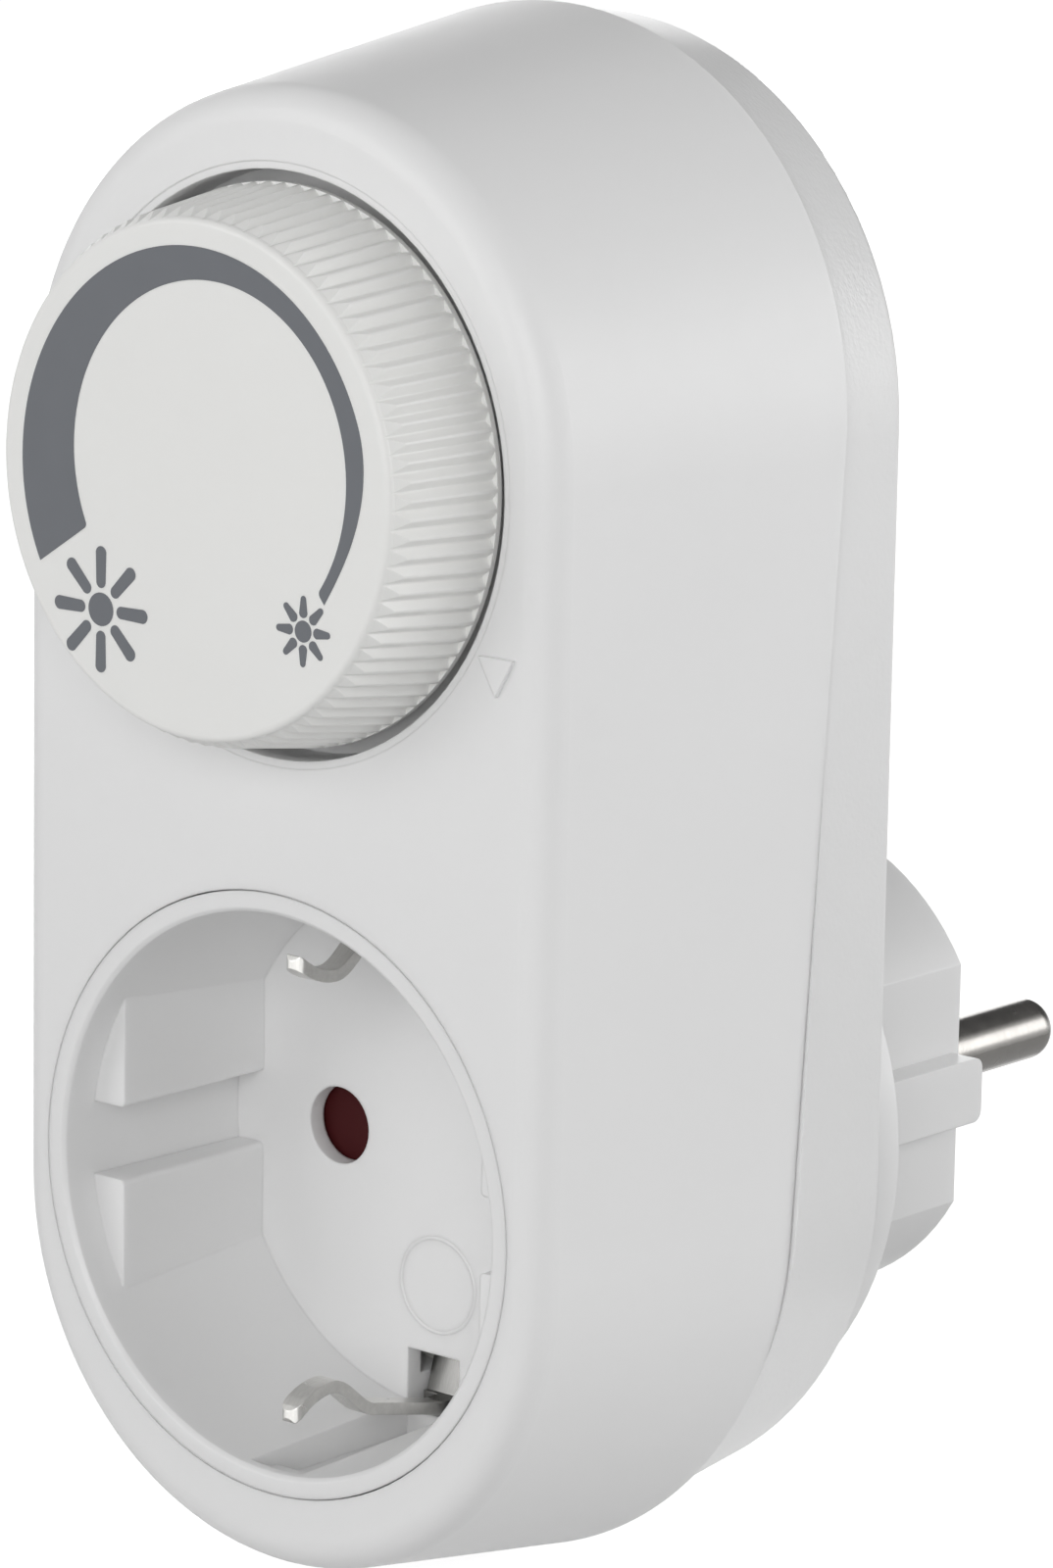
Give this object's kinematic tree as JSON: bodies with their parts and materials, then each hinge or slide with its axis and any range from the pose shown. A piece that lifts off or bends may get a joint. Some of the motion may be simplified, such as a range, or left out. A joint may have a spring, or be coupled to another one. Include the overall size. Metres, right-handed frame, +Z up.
{
  "type": "plug-in dimmer",
  "caption": "Plug-in lamp dimmer: a round earthed mains plug on the back, a shuttered socket outlet and a ribbed rotary knob above it on the front of a tall rounded housing.",
  "frame": {"origin": "on the plug's axis, midway between the two pins, at the end face of the plug body", "axes": "+X to the right seen from the front, +Y from the front towards the wall along the pins, +Z up towards the knob"},
  "size_m": [0.0572, 0.0871, 0.1131],
  "materials": {
    "front_plastic": "satin moulded",
    "rear_plastic": "fine grain",
    "socket_plastic": "satin moulded",
    "carrier_plastic": "moulded",
    "shutter_plastic": "moulded",
    "spring_steel": "drawn wire",
    "plated_strip": "nickel plated",
    "nickel_pin": "nickel plated",
    "contact_brass": "stamped",
    "knob_plastic": "satin moulded",
    "pot_case_plastic": "moulded",
    "pot_shaft_plastic": "moulded",
    "board_laminate": "laminate",
    "black_plastic": "moulded",
    "sink_aluminium": "rolled",
    "screw_steel": "zinc plated",
    "core_ferrite": "coated",
    "winding_copper": "enamelled",
    "capacitor_case": "moulded",
    "small_capacitor": "dipped",
    "diac_glass": "glass bead",
    "resistor_body": "lacquered",
    "fuse_glass": "clear tube",
    "brown_insulation": "smooth",
    "blue_insulation": "smooth"
  },
  "bodies": {
    "housing": {"front_shell": "front_plastic", "rear_shell": "rear_plastic", "socket_insert": "socket_plastic", "contact_carrier": "carrier_plastic", "shutter_spring": "spring_steel", "earth_strap": "plated_strip", "plug_earth_contacts": "plated_strip", "live_pin": "nickel_pin", "neutral_pin": "nickel_pin", "live_contact": "contact_brass", "neutral_contact": "contact_brass", "live_terminal": "contact_brass", "potentiometer_case": "pot_case_plastic", "circuit_board": "board_laminate", "triac": "black_plastic", "heat_sink": "sink_aluminium", "triac_screw": "screw_steel", "choke_core": "core_ferrite", "choke_winding": "winding_copper", "suppression_capacitor": "capacitor_case", "timing_capacitor": "small_capacitor", "diac": "diac_glass", "resistors": "resistor_body", "fuse": "fuse_glass", "fuse_clips": "contact_brass", "live_wire": "brown_insulation", "load_wire": "blue_insulation", "board_screws": "screw_steel", "housing_screws": "screw_steel"},
    "knob": {"knob": "knob_plastic", "potentiometer_shaft": "pot_shaft_plastic"},
    "shutter": {"shutter": "shutter_plastic"}
  },
  "joints": [
    {"name": "knob_turn", "type": "hinge", "parent": "housing", "child": "knob", "pos_m": [0, -0.0595, 0.0522], "axis": [0, 1, 0], "range_deg": [0, 240]},
    {"name": "shutter_turn", "type": "hinge", "parent": "housing", "child": "shutter", "pos_m": [0, -0.0389, 0], "axis": [0, 1, 0], "range_deg": [0, 40], "stiffness_Nm_per_rad": 0.004, "springref_deg": -11.46, "deforming": ["shutter_spring"]}
  ]
}
